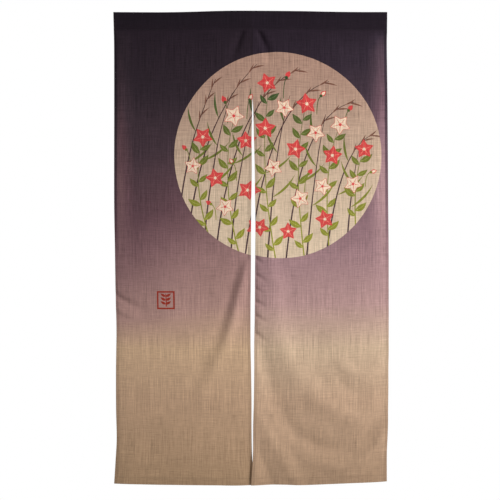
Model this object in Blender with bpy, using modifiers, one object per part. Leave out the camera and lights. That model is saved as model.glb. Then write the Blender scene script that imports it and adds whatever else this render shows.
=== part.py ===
"""A split door curtain: two dyed cloths, seamed at the top centre, hanging from a sewn rod pocket.

Lengths are in metres. X runs across the curtain, Y to its back and Z up. The origin is the middle
of the top edge. "Drop" is a distance down the cloth from its top edge, and "forward" is towards
someone who faces the printed side.
"""

import math

import bmesh
import bpy


def by_column(names, *rows):
    """A table written in rows, as one tuple of values under each column's name."""
    return dict(zip(names, zip(*rows)))


# Driving dimensions
CURTAIN_WIDTH = 0.858
CURTAIN_DROP = 1.486
SEAM_X = 0.0066
HEADING_DROP = 0.055
POCKET_FRONT = 0.004
POCKET_BACK = 0.009
CLOTH = 0.0012
HEM_CLOTH = 0.0022
SIDE_HEM = 0.012
BOTTOM_HEM = 0.020
HEM_STEP = 0.0015
SEWN_GAP = 0.0003

# Mesh steps of a cloth below the heading, and of half a heading
CLOTH_COLUMNS = 26
COLUMN_CROWDING = 1.3
HEADING_COLUMNS = 12
HEADING_SIDES = 20
HEADING_ROUNDNESS = 0.6

LEFT, RIGHT = -1, 1

# The rows lie close together where the cloth is folded: from one drop to the next, this many
ROW_RUNS = by_column(
    ("start", "end", "rows"),
    (HEADING_DROP + SEWN_GAP, 0.1850, 6),
    (0.1850, 0.7000, 10),
    (0.7000, CURTAIN_DROP - BOTTOM_HEM - HEM_STEP, 42),
)

# How far the outer edges stand in from the full width
SIDE_EDGES = by_column(
    ("drop", LEFT, RIGHT),
    (0.000, 0.0000, 0.0010),
    (0.055, 0.0012, 0.0012),
    (0.280, 0.0018, -0.0014),
    (0.600, 0.0022, -0.0031),
    (0.750, 0.0048, -0.0044),
    (0.880, 0.0068, -0.0044),
    (1.000, 0.0097, -0.0044),
    (1.120, 0.0083, -0.0036),
    (1.250, 0.0085, -0.0028),
    (1.345, 0.0105, -0.0006),
    (1.410, 0.0071, 0.0013),
    (1.486, 0.0024, 0.0014),
)

# How far each edge of the slit stands from the seam's line. At the bottom they lap over each other.
SLIT_EDGES = by_column(
    ("drop", LEFT, RIGHT),
    (0.272, 0.0000, 0.0000),
    (0.310, 0.0012, 0.0022),
    (0.400, 0.0028, 0.0045),
    (0.500, 0.0022, 0.0070),
    (0.580, 0.0035, 0.0078),
    (0.660, 0.0044, 0.0090),
    (0.800, 0.0050, 0.0080),
    (0.950, 0.0062, 0.0070),
    (1.050, 0.0060, 0.0051),
    (1.120, 0.0045, 0.0052),
    (1.220, 0.0030, 0.0040),
    (1.300, 0.0030, 0.0018),
    (1.380, 0.0020, 0.0014),
    (1.410, 0.0006, 0.0000),
    (1.486, -0.0030, -0.0045),
)

# The top edge sags a little to both sides, and the hem rises to both sides
LEVELS = by_column(
    ("x", "top", "hem"),
    (-0.430, -0.0044, 0.0058),
    (-0.295, -0.0050, 0.0019),
    (-0.233, -0.0045, 0.0014),
    (-0.170, -0.0030, 0.0012),
    (-0.108, -0.0010, 0.0008),
    (-0.045, 0.0000, 0.0000),
    (0.080, -0.0006, 0.0018),
    (0.174, -0.0016, 0.0010),
    (0.237, -0.0030, 0.0036),
    (0.330, -0.0042, 0.0075),
    (0.430, -0.0042, 0.0120),
)

# Each fold follows its own path over a cloth. It stands forward by its height, or sinks back by it
FOLD_COLUMNS = ("x", "drop", "width", "height")
FOLD_STEPS = 4
FOLDS = (
    # Drag creases that fan out from the top of the seam
    (LEFT, by_column(
        FOLD_COLUMNS,
        (-0.022, 0.060, 0.008, -0.0050),
        (-0.036, 0.092, 0.010, -0.0080),
        (-0.051, 0.129, 0.014, -0.0060),
        (-0.076, 0.179, 0.018, 0.0000),
    )),
    (RIGHT, by_column(
        FOLD_COLUMNS,
        (0.025, 0.060, 0.008, -0.0050),
        (0.038, 0.092, 0.010, -0.0080),
        (0.052, 0.123, 0.013, -0.0060),
        (0.064, 0.173, 0.016, 0.0000),
    )),
    # A long ridge slants from the slit across the left cloth, with a trough on its outer side
    (LEFT, by_column(
        FOLD_COLUMNS,
        (-0.004, 0.765, 0.012, 0.0000),
        (-0.015, 0.805, 0.013, 0.0070),
        (-0.029, 0.865, 0.015, 0.0100),
        (-0.045, 0.927, 0.017, 0.0100),
        (-0.061, 0.990, 0.019, 0.0100),
        (-0.080, 1.046, 0.022, 0.0090),
        (-0.108, 1.103, 0.026, 0.0070),
        (-0.142, 1.175, 0.032, 0.0050),
        (-0.189, 1.256, 0.038, 0.0000),
    )),
    (LEFT, by_column(
        FOLD_COLUMNS,
        (-0.029, 0.774, 0.010, 0.0000),
        (-0.051, 0.843, 0.012, -0.0040),
        (-0.070, 0.912, 0.013, -0.0050),
        (-0.092, 0.987, 0.015, -0.0050),
        (-0.117, 1.053, 0.018, -0.0040),
        (-0.148, 1.118, 0.020, -0.0030),
        (-0.183, 1.193, 0.024, 0.0000),
    )),
    # A short crease and its ridge, in from the left edge
    (LEFT, by_column(
        FOLD_COLUMNS,
        (-0.433, 0.880, 0.010, 0.0000),
        (-0.414, 0.896, 0.010, -0.0050),
        (-0.383, 0.915, 0.012, -0.0050),
        (-0.346, 0.931, 0.016, -0.0030),
        (-0.308, 0.940, 0.020, 0.0000),
    )),
    (LEFT, by_column(
        FOLD_COLUMNS,
        (-0.433, 0.921, 0.009, 0.0000),
        (-0.408, 0.940, 0.009, 0.0025),
        (-0.371, 0.956, 0.011, 0.0020),
        (-0.330, 0.968, 0.014, 0.0000),
    )),
    # A broad slack in the middle of the left cloth, and a low fold near its hem
    (LEFT, by_column(
        FOLD_COLUMNS,
        (-0.302, 0.561, 0.085, 0.0000),
        (-0.286, 0.799, 0.090, 0.0050),
        (-0.236, 1.049, 0.090, 0.0050),
        (-0.202, 1.300, 0.090, 0.0060),
        (-0.189, 1.485, 0.085, 0.0050),
    )),
    (LEFT, by_column(
        FOLD_COLUMNS,
        (-0.414, 1.425, 0.016, 0.0000),
        (-0.361, 1.422, 0.018, 0.0025),
        (-0.299, 1.413, 0.020, 0.0030),
        (-0.220, 1.388, 0.022, 0.0030),
        (-0.158, 1.359, 0.024, 0.0025),
        (-0.095, 1.306, 0.024, 0.0000),
    )),
    # Beside the slit the right cloth's edge turns back between its puckers
    (RIGHT, by_column(
        FOLD_COLUMNS,
        (0.005, 0.718, 0.018, 0.0000),
        (0.005, 0.774, 0.018, -0.0050),
        (0.005, 0.906, 0.018, -0.0070),
        (0.008, 0.999, 0.018, -0.0060),
        (0.011, 1.062, 0.018, 0.0000),
    )),
    # A long ridge beside the slit swings out to the side
    (RIGHT, by_column(
        FOLD_COLUMNS,
        (0.061, 0.608, 0.026, 0.0000),
        (0.064, 0.702, 0.028, 0.0040),
        (0.068, 0.787, 0.028, 0.0055),
        (0.074, 0.906, 0.030, 0.0060),
        (0.090, 1.015, 0.034, 0.0070),
        (0.118, 1.087, 0.038, 0.0090),
        (0.155, 1.156, 0.040, 0.0090),
        (0.205, 1.212, 0.038, 0.0090),
        (0.268, 1.256, 0.036, 0.0070),
        (0.324, 1.290, 0.032, 0.0040),
        (0.374, 1.312, 0.030, 0.0000),
    )),
    # Below it a trough hangs from the slit like a swag and climbs to the side edge
    (RIGHT, by_column(
        FOLD_COLUMNS,
        (0.021, 1.006, 0.018, 0.0000),
        (0.039, 1.078, 0.022, -0.0050),
        (0.055, 1.137, 0.024, -0.0060),
        (0.074, 1.203, 0.026, -0.0070),
        (0.099, 1.265, 0.027, -0.0070),
        (0.140, 1.319, 0.027, -0.0070),
        (0.193, 1.356, 0.025, -0.0070),
        (0.255, 1.378, 0.024, -0.0060),
        (0.312, 1.372, 0.024, -0.0060),
        (0.359, 1.337, 0.022, -0.0050),
        (0.399, 1.281, 0.020, -0.0040),
        (0.440, 1.231, 0.018, -0.0030),
    )),
    # A lower ridge and trough slant from the slit to the hem
    (RIGHT, by_column(
        FOLD_COLUMNS,
        (0.014, 1.225, 0.016, 0.0000),
        (0.033, 1.287, 0.018, 0.0030),
        (0.064, 1.344, 0.021, 0.0050),
        (0.102, 1.406, 0.023, 0.0060),
        (0.133, 1.456, 0.023, 0.0060),
        (0.152, 1.494, 0.023, 0.0050),
    )),
    (RIGHT, by_column(
        FOLD_COLUMNS,
        (0.011, 1.331, 0.013, 0.0000),
        (0.030, 1.391, 0.015, -0.0030),
        (0.052, 1.441, 0.016, -0.0040),
        (0.071, 1.491, 0.016, -0.0040),
    )),
    # The lowest swag: a ridge and a trough that climb to the side edge
    (RIGHT, by_column(
        FOLD_COLUMNS,
        (0.155, 1.406, 0.018, 0.0000),
        (0.218, 1.422, 0.019, 0.0050),
        (0.274, 1.434, 0.020, 0.0070),
        (0.318, 1.428, 0.020, 0.0070),
        (0.359, 1.403, 0.020, 0.0070),
        (0.396, 1.362, 0.020, 0.0070),
        (0.440, 1.297, 0.020, 0.0060),
    )),
    (RIGHT, by_column(
        FOLD_COLUMNS,
        (0.212, 1.488, 0.014, 0.0000),
        (0.280, 1.491, 0.015, -0.0030),
        (0.343, 1.469, 0.016, -0.0040),
        (0.390, 1.431, 0.016, -0.0040),
        (0.440, 1.372, 0.016, -0.0040),
    )),
    # A small swag higher up at the side edge
    (RIGHT, by_column(
        FOLD_COLUMNS,
        (0.262, 1.068, 0.016, 0.0000),
        (0.290, 1.112, 0.017, 0.0030),
        (0.327, 1.140, 0.017, 0.0040),
        (0.368, 1.137, 0.017, 0.0040),
        (0.406, 1.103, 0.017, 0.0040),
        (0.440, 1.062, 0.017, 0.0040),
    )),
    (RIGHT, by_column(
        FOLD_COLUMNS,
        (0.262, 1.118, 0.016, 0.0000),
        (0.287, 1.172, 0.017, -0.0030),
        (0.327, 1.200, 0.018, -0.0040),
        (0.374, 1.187, 0.018, -0.0040),
        (0.412, 1.150, 0.018, -0.0030),
        (0.440, 1.118, 0.018, -0.0030),
    )),
)

# Below the heading the side edges curl to the back, most at the top
CURL_REACH = 0.050
CURLS = by_column(
    ("drop", LEFT, RIGHT),
    (0.055, 0.000, 0.000),
    (0.100, 0.008, 0.014),
    (0.300, 0.008, 0.013),
    (0.600, 0.004, 0.008),
    (0.950, 0.003, 0.004),
    (1.486, 0.004, 0.004),
)

# Slow waves across the whole cloth, which grow towards the hem
WAVE_LENGTH = 0.37
WAVE_HEIGHT = 0.0035
WAVE_PHASE = 0.9
WAVE_SLANT = 1.1

# Below the heading's stitches the cloth comes free over this drop
LOOSENS_OVER = 0.016

# The seam holds the two cloths level with each other down to the slit
SEAM_REACH = 0.018
SLIT_DROP = 0.272
SLIT_LOOSENS = 0.080

# Where the slit's edges lap, the right one lies in front
LAP_REACH = 0.050
LAP_DROP = 1.180
LAP_FORWARD = {LEFT: -0.0040, RIGHT: 0.0050}

DYES = {
    "heading_left": (0.012, 0.009, 0.012),
    "heading_right": (0.018, 0.013, 0.019),
    "cloth_left": (0.205, 0.120, 0.105),
    "cloth_right": (0.290, 0.190, 0.170),
}
CLOTH_ROUGHNESS = 0.85


def smooth_step(value):
    value = min(1.0, max(0.0, value))
    return value * value * (3 - 2 * value)


def smooth_table(places, values, at):
    """The table's value at a place, along a smooth curve through its rows."""
    at = min(places[-1], max(places[0], at))
    row = max(i for i in range(len(places) - 1) if places[i] <= at)
    last = len(places) - 1

    def slope(i):
        before, after = max(0, i - 1), min(last, i + 1)
        return (values[after] - values[before]) / (places[after] - places[before])

    step = places[row + 1] - places[row]
    share = (at - places[row]) / step
    rise = values[row + 1] - values[row]
    start, end = slope(row) * step, slope(row + 1) * step
    bend = (3 * rise - 2 * start - end) * share**2 + (start + end - 2 * rise) * share**3
    return values[row] + start * share + bend


def across(side, share, drop):
    """X of a cloth at a share of its width, from the slit to the side edge."""
    inner = SEAM_X + side * (SEWN_GAP / 2 + smooth_table(SLIT_EDGES["drop"], SLIT_EDGES[side], drop))
    outer = side * (CURTAIN_WIDTH / 2 - smooth_table(SIDE_EDGES["drop"], SIDE_EDGES[side], drop))
    return inner + (outer - inner) * share


def level(x, drop):
    """Z of the cloth at a drop."""
    top = smooth_table(LEVELS["x"], LEVELS["top"], x)
    hem = smooth_table(LEVELS["x"], LEVELS["hem"], x)
    share = drop / CURTAIN_DROP
    return -drop + top * (1 - share) + hem * share


def fold_path(fold):
    """Places close together along a fold's path, each with its width and height."""
    rows = range(len(fold["x"]))
    at = [step / FOLD_STEPS for step in range((len(rows) - 1) * FOLD_STEPS + 1)]
    return [tuple(smooth_table(rows, fold[name], place) for name in FOLD_COLUMNS) for place in at]


FOLD_PATHS = [(side, fold_path(fold)) for side, fold in FOLDS]


def fold_forward(path, x, drop):
    """How far one fold lifts the cloth forward at a point, by the nearest place on its path."""
    nearest, width, height = math.inf, 1.0, 0.0
    for start, end in zip(path, path[1:]):
        along_x, along_drop = end[0] - start[0], end[1] - start[1]
        share = ((x - start[0]) * along_x + (drop - start[1]) * along_drop) / (along_x**2 + along_drop**2)
        share = min(1.0, max(0.0, share))
        away = math.hypot(x - start[0] - share * along_x, drop - start[1] - share * along_drop)
        if away < nearest:
            nearest = away
            width = start[2] + (end[2] - start[2]) * share
            height = start[3] + (end[3] - start[3]) * share
    return height * math.exp(-((nearest / width) ** 2))


def forward(side, x, drop):
    """How far the cloth stands forward of the plane that it hangs in."""
    from_slit = max(0.0, side * (x - SEAM_X))
    held = 1 - smooth_step((drop - SLIT_DROP) / SLIT_LOOSENS)
    total = sum(fold_forward(path, x, drop) for cloth, path in FOLD_PATHS if cloth == side)
    total *= 1 - held * (1 - smooth_step(from_slit / SEAM_REACH))
    ramp = drop / CURTAIN_DROP
    total += WAVE_HEIGHT * ramp * math.sin(math.tau * x / WAVE_LENGTH + WAVE_PHASE + WAVE_SLANT * drop)
    to_edge = CURTAIN_WIDTH / 2 - side * x
    curl = smooth_table(CURLS["drop"], CURLS[side], drop)
    total -= curl * max(0.0, 1 - to_edge / CURL_REACH) ** 2
    lap = smooth_step((drop - LAP_DROP) / (CURTAIN_DROP - LAP_DROP))
    total += LAP_FORWARD[side] * lap * (1 - smooth_step(from_slit / LAP_REACH))
    return total * smooth_step((drop - HEADING_DROP) / LOOSENS_OVER)


def evenly(start, end, count):
    return [start + (end - start) * i / count for i in range(count + 1)]


def cloth_rows():
    """The drops of a cloth's rows between its heading and its bottom hem."""
    drops = [ROW_RUNS["start"][0]]
    for start, end, rows in zip(*ROW_RUNS.values()):
        drops += evenly(start, end, rows)[1:]
    return drops


def mapped_grid(columns, rows, place):
    """A grid of columns by rows whose points lie where place(column, row) puts them."""
    grid = bmesh.new()
    across_count, down_count = len(columns) - 1, len(rows) - 1
    bmesh.ops.create_grid(grid, x_segments=across_count, y_segments=down_count, size=1)
    for point in grid.verts:
        column = round((point.co.x + 1) / 2 * across_count)
        row = round((point.co.y + 1) / 2 * down_count)
        point.co = place(columns[column], rows[row])
    bmesh.ops.remove_doubles(grid, verts=grid.verts, dist=1e-6)
    return grid


def dyed(name):
    material = bpy.data.materials.new(name + "_dye")
    material.use_nodes = True
    shader = material.node_tree.nodes["Principled BSDF"]
    shader.inputs["Base Color"].default_value = (*DYES[name], 1)
    shader.inputs["Roughness"].default_value = CLOTH_ROUGHNESS
    shader.inputs["Metallic"].default_value = 0
    return material


def add_piece(name, surface, collection):
    mesh = bpy.data.meshes.new(name)
    surface.to_mesh(mesh)
    surface.free()
    mesh.shade_smooth()
    mesh.materials.append(dyed(name))
    piece = bpy.data.objects.new(name, mesh)
    collection.objects.link(piece)
    return piece


def add_cloth(name, side, collection):
    """One hanging cloth, thicker where its side and bottom edges are hemmed."""
    width = CURTAIN_WIDTH / 2
    hem, inside = SIDE_HEM / width, (SIDE_HEM + HEM_STEP) / width
    hem_top = CURTAIN_DROP - BOTTOM_HEM
    middle = [inside + (1 - 2 * inside) * step**COLUMN_CROWDING for step in evenly(0, 1, CLOTH_COLUMNS)]
    shares = [0, hem, *middle, 1 - hem, 1]
    drops = [CURTAIN_DROP, hem_top, *reversed(cloth_rows())]

    def place(share, drop):
        x = across(side, share, drop)
        return x, -forward(side, x, drop) - CLOTH / 2, level(x, drop)

    sheet = mapped_grid(shares, drops, place)
    thickness = sheet.verts.layers.float.new("thickness")
    wide = len(shares)
    for i, point in enumerate(sheet.verts):
        hemmed = i % wide < 2 or i % wide > wide - 3 or i // wide < 2
        point[thickness] = HEM_CLOTH if hemmed else CLOTH
    made = bmesh.ops.extrude_face_region(sheet, geom=sheet.faces[:])["geom"]
    for point in made:
        if isinstance(point, bmesh.types.BMVert):
            point.co.y += point[thickness]
    bmesh.ops.recalc_face_normals(sheet, faces=sheet.faces[:])
    return add_piece(name, sheet, collection)


def add_heading(name, side, collection):
    """One cloth's half of the rod pocket: a flattened tube of cloth, open at both ends."""
    ends = sorted((SEAM_X + side * SEWN_GAP / 2, across(side, 1, 0)))
    columns = evenly(*ends, HEADING_COLUMNS)
    turns = evenly(0, math.tau, HEADING_SIDES)

    def place(x, turn):
        out = math.sin(turn)
        y = -POCKET_FRONT if out > 0 else POCKET_BACK
        drop = HEADING_DROP * (1 + math.cos(turn)) / 2
        return x, y * abs(out) ** HEADING_ROUNDNESS, level(x, drop)

    heading = add_piece(name, mapped_grid(columns, turns, place), collection)
    wall = heading.modifiers.new("cloth", "SOLIDIFY")
    wall.thickness = CLOTH
    wall.offset = -1
    wall.use_even_offset = True
    return heading


def build():
    for old in list(bpy.data.objects):
        bpy.data.objects.remove(old)
    collection = bpy.data.collections.new("split_door_curtain")
    bpy.context.scene.collection.children.link(collection)
    add_heading("heading_left", LEFT, collection)
    add_heading("heading_right", RIGHT, collection)
    add_cloth("cloth_left", LEFT, collection)
    add_cloth("cloth_right", RIGHT, collection)


build()
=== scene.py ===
"""Dresses the split door curtain: slub cloth with a shaded dye, a printed disc, a seal, hems and stitching.

Lengths are in metres. X runs across the curtain, Y to its back and Z up. "Drop" is a distance down the
cloth from its top edge. Each cloth is drawn flat first: u runs out from the slit's edge, and v runs down
from the stitch line under the rod pocket.
"""

import math

import bpy
import numpy as np
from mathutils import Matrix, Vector, geometry


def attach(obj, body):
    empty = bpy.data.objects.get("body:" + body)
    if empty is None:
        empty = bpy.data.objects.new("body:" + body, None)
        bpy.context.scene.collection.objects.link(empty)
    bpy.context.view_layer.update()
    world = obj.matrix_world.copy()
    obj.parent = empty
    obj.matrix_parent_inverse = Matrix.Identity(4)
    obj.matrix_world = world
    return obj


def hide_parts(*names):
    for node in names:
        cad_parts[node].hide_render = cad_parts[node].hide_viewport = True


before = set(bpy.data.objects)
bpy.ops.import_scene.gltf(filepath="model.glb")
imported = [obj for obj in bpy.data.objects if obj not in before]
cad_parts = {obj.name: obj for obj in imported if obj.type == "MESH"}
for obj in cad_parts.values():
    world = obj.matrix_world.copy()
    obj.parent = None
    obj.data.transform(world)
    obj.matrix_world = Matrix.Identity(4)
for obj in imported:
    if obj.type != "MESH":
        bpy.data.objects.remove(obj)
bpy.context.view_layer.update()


def by_column(names, *rows):
    """A table written in rows, as one tuple of values under each column's name."""
    return dict(zip(names, zip(*rows)))


def metres(millimetres):
    """Millimetres as metres, to the nearest micrometre."""
    return [round(length / 1000, 6) for length in millimetres]


def in_millimetres(names, *rows):
    """The same table by column, from rows written in millimetres. Its values come out in metres."""
    return by_column(names, *(metres(row) for row in rows))


# Dimensions of the hanging cloth, as the part has them
CURTAIN_WIDTH = 0.858
CURTAIN_DROP = 1.486
SEAM_X = 0.0066
HEADING_DROP = 0.055
POCKET_FRONT = 0.004
POCKET_BACK = 0.009

LEFT, RIGHT = -1, 1
NAMES = {LEFT: "left", RIGHT: "right"}

# How far the outer edges stand in from the full width
SIDE_EDGES = in_millimetres(
    ("drop", LEFT, RIGHT),
    (0, 0.0, 1.0),
    (55, 1.2, 1.2),
    (280, 1.8, -1.4),
    (600, 2.2, -3.1),
    (750, 4.8, -4.4),
    (880, 6.8, -4.4),
    (1000, 9.7, -4.4),
    (1120, 8.3, -3.6),
    (1250, 8.5, -2.8),
    (1345, 10.5, -0.6),
    (1410, 7.1, 1.3),
    (1486, 2.4, 1.4),
)

# How far each edge of the slit stands from the seam's line. At the bottom they lap over each other.
SLIT_EDGES = in_millimetres(
    ("drop", LEFT, RIGHT),
    (272, 0.0, 0.0),
    (310, 1.2, 2.2),
    (400, 2.8, 4.5),
    (500, 2.2, 7.0),
    (580, 3.5, 7.8),
    (660, 4.4, 9.0),
    (800, 5.0, 8.0),
    (950, 6.2, 7.0),
    (1050, 6.0, 5.1),
    (1120, 4.5, 5.2),
    (1220, 3.0, 4.0),
    (1300, 3.0, 1.8),
    (1380, 2.0, 1.4),
    (1410, 0.6, 0.0),
    (1486, -3.0, -4.5),
)

# The top edge sags a little to both sides, and the hem rises to both sides
LEVELS = in_millimetres(
    ("x", "top", "hem"),
    (-430, -4.4, 5.8),
    (-295, -5.0, 1.9),
    (-233, -4.5, 1.4),
    (-170, -3.0, 1.2),
    (-108, -1.0, 0.8),
    (-45, 0.0, 0.0),
    (80, -0.6, 1.8),
    (174, -1.6, 1.0),
    (237, -3.0, 3.6),
    (330, -4.2, 7.5),
    (430, -4.2, 12.0),
)

# Each fold follows its own path over a cloth, in this many steps from one of its points to the next.
# It stands forward by its height, or sinks back by it.
FOLD_COLUMNS = ("x", "drop", "width", "height")
FOLD_STEPS = 4
FOLDS = tuple((side, in_millimetres(FOLD_COLUMNS, *path)) for side, path in (
    # Drag creases that fan out from the top of the seam
    (LEFT, (
        (-22, 60, 8, -5.0),
        (-36, 92, 10, -8.0),
        (-51, 129, 14, -6.0),
        (-76, 179, 18, 0.0),
    )),
    (RIGHT, (
        (25, 60, 8, -5.0),
        (38, 92, 10, -8.0),
        (52, 123, 13, -6.0),
        (64, 173, 16, 0.0),
    )),
    # A long ridge slants from the slit across the left cloth, with a trough on its outer side
    (LEFT, (
        (-4, 765, 12, 0.0),
        (-15, 805, 13, 7.0),
        (-29, 865, 15, 10.0),
        (-45, 927, 17, 10.0),
        (-61, 990, 19, 10.0),
        (-80, 1046, 22, 9.0),
        (-108, 1103, 26, 7.0),
        (-142, 1175, 32, 5.0),
        (-189, 1256, 38, 0.0),
    )),
    (LEFT, (
        (-29, 774, 10, 0.0),
        (-51, 843, 12, -4.0),
        (-70, 912, 13, -5.0),
        (-92, 987, 15, -5.0),
        (-117, 1053, 18, -4.0),
        (-148, 1118, 20, -3.0),
        (-183, 1193, 24, 0.0),
    )),
    # A short crease and its ridge, in from the left edge
    (LEFT, (
        (-433, 880, 10, 0.0),
        (-414, 896, 10, -5.0),
        (-383, 915, 12, -5.0),
        (-346, 931, 16, -3.0),
        (-308, 940, 20, 0.0),
    )),
    (LEFT, (
        (-433, 921, 9, 0.0),
        (-408, 940, 9, 2.5),
        (-371, 956, 11, 2.0),
        (-330, 968, 14, 0.0),
    )),
    # A broad slack in the middle of the left cloth, and a low fold near its hem
    (LEFT, (
        (-302, 561, 85, 0.0),
        (-286, 799, 90, 5.0),
        (-236, 1049, 90, 5.0),
        (-202, 1300, 90, 6.0),
        (-189, 1485, 85, 5.0),
    )),
    (LEFT, (
        (-414, 1425, 16, 0.0),
        (-361, 1422, 18, 2.5),
        (-299, 1413, 20, 3.0),
        (-220, 1388, 22, 3.0),
        (-158, 1359, 24, 2.5),
        (-95, 1306, 24, 0.0),
    )),
    # Beside the slit the right cloth's edge turns back between its puckers
    (RIGHT, (
        (5, 718, 18, 0.0),
        (5, 774, 18, -5.0),
        (5, 906, 18, -7.0),
        (8, 999, 18, -6.0),
        (11, 1062, 18, 0.0),
    )),
    # A long ridge beside the slit swings out to the side
    (RIGHT, (
        (61, 608, 26, 0.0),
        (64, 702, 28, 4.0),
        (68, 787, 28, 5.5),
        (74, 906, 30, 6.0),
        (90, 1015, 34, 7.0),
        (118, 1087, 38, 9.0),
        (155, 1156, 40, 9.0),
        (205, 1212, 38, 9.0),
        (268, 1256, 36, 7.0),
        (324, 1290, 32, 4.0),
        (374, 1312, 30, 0.0),
    )),
    # Below it a trough hangs from the slit like a swag and climbs to the side edge
    (RIGHT, (
        (21, 1006, 18, 0.0),
        (39, 1078, 22, -5.0),
        (55, 1137, 24, -6.0),
        (74, 1203, 26, -7.0),
        (99, 1265, 27, -7.0),
        (140, 1319, 27, -7.0),
        (193, 1356, 25, -7.0),
        (255, 1378, 24, -6.0),
        (312, 1372, 24, -6.0),
        (359, 1337, 22, -5.0),
        (399, 1281, 20, -4.0),
        (440, 1231, 18, -3.0),
    )),
    # A lower ridge and trough slant from the slit to the hem
    (RIGHT, (
        (14, 1225, 16, 0.0),
        (33, 1287, 18, 3.0),
        (64, 1344, 21, 5.0),
        (102, 1406, 23, 6.0),
        (133, 1456, 23, 6.0),
        (152, 1494, 23, 5.0),
    )),
    (RIGHT, (
        (11, 1331, 13, 0.0),
        (30, 1391, 15, -3.0),
        (52, 1441, 16, -4.0),
        (71, 1491, 16, -4.0),
    )),
    # The lowest swag: a ridge and a trough that climb to the side edge
    (RIGHT, (
        (155, 1406, 18, 0.0),
        (218, 1422, 19, 5.0),
        (274, 1434, 20, 7.0),
        (318, 1428, 20, 7.0),
        (359, 1403, 20, 7.0),
        (396, 1362, 20, 7.0),
        (440, 1297, 20, 6.0),
    )),
    (RIGHT, (
        (212, 1488, 14, 0.0),
        (280, 1491, 15, -3.0),
        (343, 1469, 16, -4.0),
        (390, 1431, 16, -4.0),
        (440, 1372, 16, -4.0),
    )),
    # A small swag higher up at the side edge
    (RIGHT, (
        (262, 1068, 16, 0.0),
        (290, 1112, 17, 3.0),
        (327, 1140, 17, 4.0),
        (368, 1137, 17, 4.0),
        (406, 1103, 17, 4.0),
        (440, 1062, 17, 4.0),
    )),
    (RIGHT, (
        (262, 1118, 16, 0.0),
        (287, 1172, 17, -3.0),
        (327, 1200, 18, -4.0),
        (374, 1187, 18, -4.0),
        (412, 1150, 18, -3.0),
        (440, 1118, 18, -3.0),
    )),
))

# Below the heading the side edges curl to the back, most at the top
CURL_REACH = 0.050
CURLS = in_millimetres(
    ("drop", LEFT, RIGHT),
    (55, 0, 0),
    (100, 8, 14),
    (300, 8, 13),
    (600, 4, 8),
    (950, 3, 4),
    (1486, 4, 4),
)

# Slow waves across the whole cloth, which grow towards the hem
WAVE_LENGTH = 0.37
WAVE_HEIGHT = 0.0035
WAVE_PHASE = 0.9
WAVE_SLANT = 1.1

# Below the heading's stitches the cloth comes free over this drop
LOOSENS_OVER = 0.016

# The seam holds the two cloths level with each other down to the slit
SEAM_REACH = 0.018
SLIT_DROP = 0.272
SLIT_LOOSENS = 0.080

# Where the slit's edges lap, the right one lies in front
LAP_REACH = 0.050
LAP_DROP = 1.180
LAP_FORWARD = {LEFT: -0.0040, RIGHT: 0.0050}

# How the visible cloth is folded and sewn. Turns are the radii of its folded edges.
THICKNESS = 0.0004
SEAM_PRESS = 0.00003
FRONT_LAYER = 0.0004
SIDE_TURN = 0.0003
SIDE_HEM = 0.009
HEM_TURN = 0.0009
BOTTOM_HEM = 0.024
EDGE_INSET = SIDE_TURN + THICKNESS / 2
HALF_WIDTH = {side: CURTAIN_WIDTH / 2 - side * SEAM_X + SEAM_PRESS for side in (LEFT, RIGHT)}
CLOTH_WIDTH = {side: HALF_WIDTH[side] - 2 * EDGE_INSET for side in (LEFT, RIGHT)}
CLOTH_LENGTH = CURTAIN_DROP - HEADING_DROP - HEM_TURN - THICKNESS / 2

# Where the turned-up hem ends, on the flat cloth's front
HEM_FOLD = CLOTH_LENGTH + math.pi * HEM_TURN - BOTTOM_HEM

# The rod pocket's section: how many points it has, how quickly it narrows to its lower and upper edge,
# and how far its end runs on below the stitch line
POCKET_POINTS = 241
LOWER_TAPER = 2.2
UPPER_TAPER = 0.6
POCKET_FLAP = 0.0025

# Small puckers that only the dressed cloth has, in millimetres. They run in from the side hems, and
# come up over this share of their length.
PUCKER_LEAD = 0.25
PUCKER_COLUMNS = ("x0", "drop0", "x1", "drop1", "width", "height")
PUCKERS = tuple((side, dict(zip(PUCKER_COLUMNS, metres(row)))) for side, row in (
    (RIGHT, (18, 777, 52, 802, 7, -3.5)),
    (RIGHT, (21, 830, 64, 855, 7, -3.5)),
    (RIGHT, (18, 871, 43, 887, 6, -2.5)),
    (RIGHT, (18, 912, 58, 934, 8, -4.0)),
    (RIGHT, (18, 956, 58, 981, 8, -4.0)),
    (RIGHT, (18, 1012, 61, 1049, 9, -4.0)),
    (RIGHT, (431, 880, 381, 893, 6, 1.5)),
    (RIGHT, (431, 915, 384, 921, 5, -1.5)),
    (RIGHT, (431, 952, 381, 962, 6, 1.5)),
    (RIGHT, (431, 987, 384, 990, 5, -1.2)),
    (RIGHT, (431, 1021, 374, 1024, 6, 1.2)),
    (LEFT, (-9, 749, -11, 805, 6, -3.0)),
    (LEFT, (-430, 1021, -330, 1024, 7, -1.5)),
    (LEFT, (-430, 1056, -352, 1056, 7, 1.5)),
    (LEFT, (-430, 1100, -371, 1100, 6, -1.2)),
    (LEFT, (-430, 1137, -377, 1143, 6, 1.2)),
    (LEFT, (-430, 1175, -383, 1178, 5, -1.0)),
))

# The turned edges behind the seam raise a low ridge
SEAM_RIDGE = 0.0007
SEAM_RIDGE_WIDTH = 0.0032


# Shape of the hanging cloth


def smooth_step(value):
    value = np.clip(value, 0, 1)
    return value * value * (3 - 2 * value)


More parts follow.
